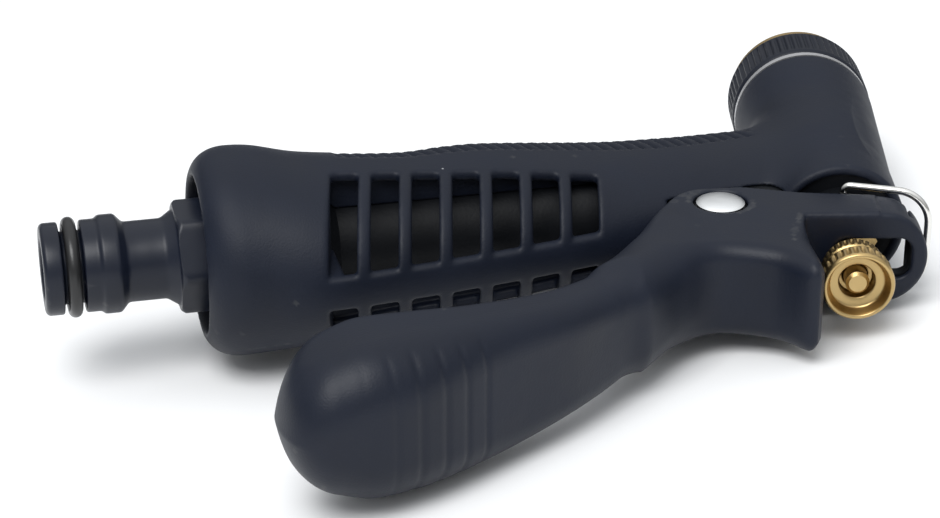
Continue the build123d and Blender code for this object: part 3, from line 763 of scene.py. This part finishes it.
def coil_spring(name):
    """Coil about the barrel's axis, from the chamber's rear wall to the stem's cup."""
    around, sides = 48 * SPRING_TURNS + 1, 10
    t = np.linspace(0, 1, around)
    turn = 2 * math.pi * SPRING_TURNS * t
    out = np.cos(turn)[:, None] * barrel_across + np.sin(turn)[:, None] * np.array([0, 0, 1])
    places = SPRING_START + (SPRING_END - SPRING_START) * t
    middle = barrel_foot + places[:, None] * barrel_way + SPRING_R * out
    points = []
    for b in np.arange(sides) * 2 * math.pi / sides:
        points.append(middle + SPRING_WIRE_R * (math.cos(b) * out + math.sin(b) * barrel_way))
    points = np.stack(points, 1).reshape(-1, 3)
    faces = []
    for i in range(around - 1):
        for j in range(sides):
            k = (j + 1) % sides
            faces.append((i * sides + j, i * sides + k, (i + 1) * sides + k, (i + 1) * sides + j))
    faces.append(tuple(range(sides)))
    faces.append(tuple((around - 1) * sides + j for j in reversed(range(sides))))
    made = mesh_piece(name, points, faces)
    fix_normals(made)
    made.data.shade_smooth()
    return made


spring = coil_spring("coil_spring")
wear(spring, SPRING)
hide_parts("stem_spring")
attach(spring, "nozzle")
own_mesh(spring)

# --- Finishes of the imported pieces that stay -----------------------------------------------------

kept = {
    "body_casting": CASTING, "inlet_washer": SEAL, "lever_core": PAINTED, "packing_nut": BRASS,
    "gland_washer": BRASS, "stem_packing": SEAL, "spray_tip": BRASS, "tip_seal": SEAL,
    "valve_stem": BRASS, "washer_cup": BRASS, "valve_washer": SEAL, "stem_cone": BRASS,
    "wire_bail": NICKEL,
}
for name, finish in kept.items():
    wear(frame["nodes"][name], finish)
    frame["nodes"][name].data.shade_smooth()
    frame["nodes"][name].data.set_sharp_from_angle(angle=math.radians(35))

# --- Floor, light and camera ----------------------------------------------------------------------

floor_way = np.array([-0.074, 0.065, 1.0])
floor_way /= np.linalg.norm(floor_way)
lowest = 1e9
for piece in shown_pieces():
    co = np.empty(len(piece.data.vertices) * 3)
    piece.data.vertices.foreach_get("co", co)
    lowest = min(lowest, (co.reshape(-1, 3) @ floor_way).min())
floor = bpy.data.objects.new("floor", bpy.data.meshes.new("floor"))
HALF = 3.0
flat = Vector(floor_way).to_track_quat("Z", "Y").to_matrix()
corners = [flat @ Vector((x, y, 0)) + Vector(floor_way) * lowest
           for x, y in ((-HALF, -HALF), (HALF, -HALF), (HALF, HALF), (-HALF, HALF))]
floor.data.from_pydata([tuple(c) for c in corners], [], [(0, 1, 2, 3)])
bpy.context.scene.collection.objects.link(floor)
white = bpy.data.materials.new("floor_white")
white.use_nodes = True
white.node_tree.nodes["Principled BSDF"].inputs["Base Color"].default_value = (0.93, 0.935, 0.94, 1)
white.node_tree.nodes["Principled BSDF"].inputs["Roughness"].default_value = 0.9
white.node_tree.nodes["Principled BSDF"].inputs["Specular IOR Level"].default_value = 0.0
floor.data.materials.append(white)

world = bpy.data.worlds.new("studio")
bpy.context.scene.world = world
world.use_nodes = True
sky = world.node_tree
height = sky.nodes.new("ShaderNodeSeparateXYZ")
brightness = sky.nodes.new("ShaderNodeMapRange")
for socket, value in (("From Min", 0.0), ("From Max", 0.9), ("To Min", 0.08), ("To Max", 1.08)):
    brightness.inputs[socket].default_value = value
sky.links.new(sky.nodes.new("ShaderNodeTexCoord").outputs["Generated"], height.inputs[0])
sky.links.new(height.outputs["Z"], brightness.inputs["Value"])
sky.links.new(brightness.outputs["Result"], sky.nodes["Background"].inputs["Strength"])
sky.nodes["Background"].inputs["Color"].default_value = (0.96, 0.98, 1.0, 1)


def soft_box(name, place, target, size, power):
    """Square lamp that looks at a point, in metres and watts."""
    data = bpy.data.lights.new(name, "AREA")
    data.shape = "RECTANGLE"
    data.size, data.size_y = size
    data.energy = power
    lamp = bpy.data.objects.new(name, data)
    bpy.context.scene.collection.objects.link(lamp)
    lamp.location = place
    lamp.rotation_mode = "QUATERNION"
    lamp.rotation_quaternion = (Vector(target) - Vector(place)).to_track_quat("-Z", "Y")
    return lamp


soft_box("key", (-0.3, -0.5, 0.95), (0.08, -0.02, 0), (0.7, 0.6), 9.0)

AZIMUTH, ELEVATION, LENS = math.radians(-13.15), math.radians(25.6), 100.15
camera_data = bpy.data.cameras.new("camera")
camera = bpy.data.objects.new("camera", camera_data)
bpy.context.scene.collection.objects.link(camera)
bpy.context.scene.camera = camera
camera_data.lens = LENS
camera_data.sensor_width = 36.0
camera_data.clip_start = 0.01
camera.location = (-0.0200, -0.4037, 0.1926)
look = Vector((-math.sin(AZIMUTH) * math.cos(ELEVATION), math.cos(AZIMUTH) * math.cos(ELEVATION),
               -math.sin(ELEVATION)))
camera.rotation_mode = "QUATERNION"
camera.rotation_quaternion = look.to_track_quat("-Z", "Y")
bpy.context.scene.view_settings.view_transform = "Standard"
